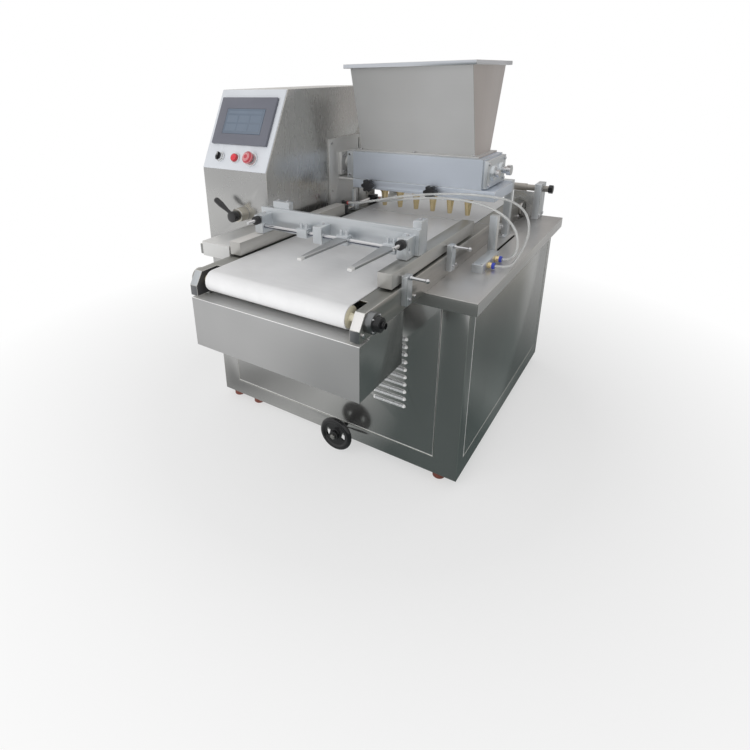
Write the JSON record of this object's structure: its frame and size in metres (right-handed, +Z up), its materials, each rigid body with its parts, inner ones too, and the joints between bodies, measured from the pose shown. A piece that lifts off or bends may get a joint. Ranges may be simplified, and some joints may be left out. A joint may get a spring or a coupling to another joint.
{
  "type": "cookie depositor",
  "caption": "Floor-standing cookie depositor: hopper and geared feed rollers press dough through brass nozzles onto a belt conveyor, where a wire cuts it; control cabinet at the left.",
  "frame": {"origin": "on the floor below the middle of the whole outline", "axes": "+Z up, +Y from the conveyor's front end to the back, +X to the right of someone who stands in front of the conveyor"},
  "size_m": [1.03, 1.352, 1.238],
  "materials": {
    "stainless_sheet": "brushed stainless sheet",
    "stainless_tube": "satin stainless tube",
    "hopper_steel": "satin stainless sheet",
    "machined_alloy": "machined",
    "head_alloy": "satin anodised",
    "bright_steel": "polished",
    "plain_steel": "turned",
    "belt_white": "smooth food belt",
    "roller_core": "turned nylon",
    "bearing_black": "dark oiled",
    "black_bakelite": "moulded gloss",
    "black_plastic": "moulded satin",
    "panel_plate": "pale satin",
    "screen_dark": "dark moulded frame",
    "switch_metal": "polished",
    "button_red": "gloss",
    "stop_red": "gloss",
    "nozzle_brass": "turned",
    "collar_blue": "gloss",
    "hose_clear": "translucent white",
    "foot_rubber": "moulded red-brown",
    "tip_white": "white"
  },
  "bodies": {
    "machine": {"base_cabinet": "stainless_sheet", "front_panel": "stainless_sheet", "side_panel": "stainless_sheet", "table_top": "stainless_sheet", "catch_tray": "stainless_sheet", "control_cabinet": "stainless_sheet", "side_shelf": "stainless_sheet", "drive_plate": "stainless_sheet", "rear_guards": "stainless_sheet", "conveyor_frame": "stainless_tube", "guide_rails": "stainless_tube", "hopper": "hopper_steel", "stop_bar": "machined_alloy", "rail_clamps": "machined_alloy", "head_support": "machined_alloy", "air_cylinder_right": "machined_alloy", "rear_brackets": "machined_alloy", "head_block": "head_alloy", "gear_case": "head_alloy", "nozzle_plate": "head_alloy", "end_plate": "bright_steel", "air_cylinder_left": "bright_steel", "lever_boss": "bright_steel", "hex_bolts": "bright_steel", "belt": "belt_white", "bearing_housings": "bearing_black", "cylinder_caps": "black_plastic", "control_panel": "panel_plate", "touch_screen": "screen_dark", "switch_collars": "switch_metal", "nozzles": "nozzle_brass", "air_fittings": "nozzle_brass", "fitting_collars": "collar_blue", "hose_outer": "hose_clear", "hose_inner": "hose_clear", "feet": "foot_rubber"},
    "front_belt_roller": {"front_roller": "roller_core"},
    "rear_belt_roller": {"rear_roller": "plain_steel"},
    "wheel": {"handwheel": "black_bakelite"},
    "pin_front": {"clamp_pin_front": "bright_steel"},
    "pin_rear": {"clamp_pin_rear": "bright_steel"},
    "finger_set": {"finger_shaft": "bright_steel", "finger_clamps": "machined_alloy", "fingers": "machined_alloy", "finger_tips": "tip_white"},
    "screw_left": {"adjuster_left": "black_plastic"},
    "screw_right": {"adjuster_right": "black_plastic"},
    "selector_switch": {"selector": "black_plastic"},
    "start_button": {"push_button": "button_red"},
    "emergency_button": {"stop_button": "stop_red"},
    "lever": {"hand_lever": "black_bakelite"},
    "feed_front": {"drive_shaft": "bright_steel", "feed_roller_front": "bright_steel"},
    "feed_rear": {"driven_gear": "bright_steel", "feed_roller_rear": "bright_steel"},
    "knob_left": {"clamp_knob_left": "black_bakelite"},
    "knob_right": {"clamp_knob_right": "black_bakelite"},
    "wire_set": {"wire_carriage": "machined_alloy", "cutting_wire": "bright_steel"},
    "back_shaft": {"rear_shaft": "plain_steel"}
  },
  "joints": [
    {"name": "front_roller_turn", "type": "hinge", "parent": "machine", "child": "front_belt_roller", "pos_m": [0.097, -0.634, 0.686], "axis": [1, 0, 0], "continuous": true},
    {"name": "rear_roller_turn", "type": "hinge", "parent": "machine", "child": "rear_belt_roller", "pos_m": [0.097, 0.588, 0.686], "axis": [1, 0, 0], "continuous": true},
    {"name": "handwheel_turn", "type": "hinge", "parent": "machine", "child": "wheel", "pos_m": [0.086, -0.36, 0.082], "axis": [0, 1, 0], "continuous": true},
    {"name": "clamp_pin_front_turn", "type": "hinge", "parent": "machine", "child": "pin_front", "pos_m": [0.376, -0.463, 0.738], "axis": [1, 0, 0], "continuous": true},
    {"name": "clamp_pin_rear_turn", "type": "hinge", "parent": "machine", "child": "pin_rear", "pos_m": [0.376, -0.177, 0.738], "axis": [1, 0, 0], "continuous": true},
    {"name": "finger_swing", "type": "hinge", "parent": "machine", "child": "finger_set", "pos_m": [0.097, -0.398, 0.782], "axis": [1, 0, 0], "range_deg": [-75, 12]},
    {"name": "adjuster_left_turn", "type": "hinge", "parent": "machine", "child": "screw_left", "pos_m": [-0.148, -0.412, 0.802], "axis": [0, 1, 0], "continuous": true},
    {"name": "adjuster_right_turn", "type": "hinge", "parent": "machine", "child": "screw_right", "pos_m": [0.334, -0.412, 0.802], "axis": [0, 1, 0], "continuous": true},
    {"name": "selector_turn", "type": "hinge", "parent": "machine", "child": "selector_switch", "pos_m": [-0.4145, -0.28251, 0.9542], "axis": [0, -0.8858, 0.4641], "range_deg": [-45, 45]},
    {"name": "push_button_press", "type": "slide", "parent": "machine", "child": "start_button", "axis": [0, 0.8858, -0.4641], "range_m": [0, 0.004], "stiffness_N_per_m": 700},
    {"name": "stop_button_press", "type": "slide", "parent": "machine", "child": "emergency_button", "axis": [0, 0.8858, -0.4641], "range_m": [0, 0.005], "stiffness_N_per_m": 1200},
    {"name": "lever_turn", "type": "hinge", "parent": "machine", "child": "lever", "pos_m": [-0.31, -0.3385, 0.778], "axis": [0, 1, 0], "range_deg": [0, 90]},
    {"name": "feed_front_turn", "type": "hinge", "parent": "machine", "child": "feed_front", "pos_m": [0.1, 0.16, 0.8955], "axis": [1, 0, 0], "continuous": true},
    {"name": "feed_rear_turn", "type": "hinge", "parent": "machine", "child": "feed_rear", "pos_m": [0.1, 0.24, 0.8955], "axis": [1, 0, 0], "continuous": true},
    {"name": "clamp_knob_left_turn", "type": "hinge", "parent": "machine", "child": "knob_left", "pos_m": [-0.053, 0.1025, 0.829], "axis": [0, 1, 0], "continuous": true},
    {"name": "clamp_knob_right_turn", "type": "hinge", "parent": "machine", "child": "knob_right", "pos_m": [0.191, 0.1025, 0.829], "axis": [0, 1, 0], "continuous": true},
    {"name": "wire_stroke", "type": "slide", "parent": "machine", "child": "wire_set", "axis": [0, 1, 0], "range_m": [0, 0.11]},
    {"name": "rear_shaft_turn", "type": "hinge", "parent": "machine", "child": "back_shaft", "pos_m": [0.1, 0.634, 0.765], "axis": [1, 0, 0], "continuous": true}
  ],
  "couplings": [
    {"joint": "rear_roller_turn", "follows": "front_roller_turn", "ratio": 1},
    {"joint": "feed_rear_turn", "follows": "feed_front_turn", "ratio": -1}
  ]
}
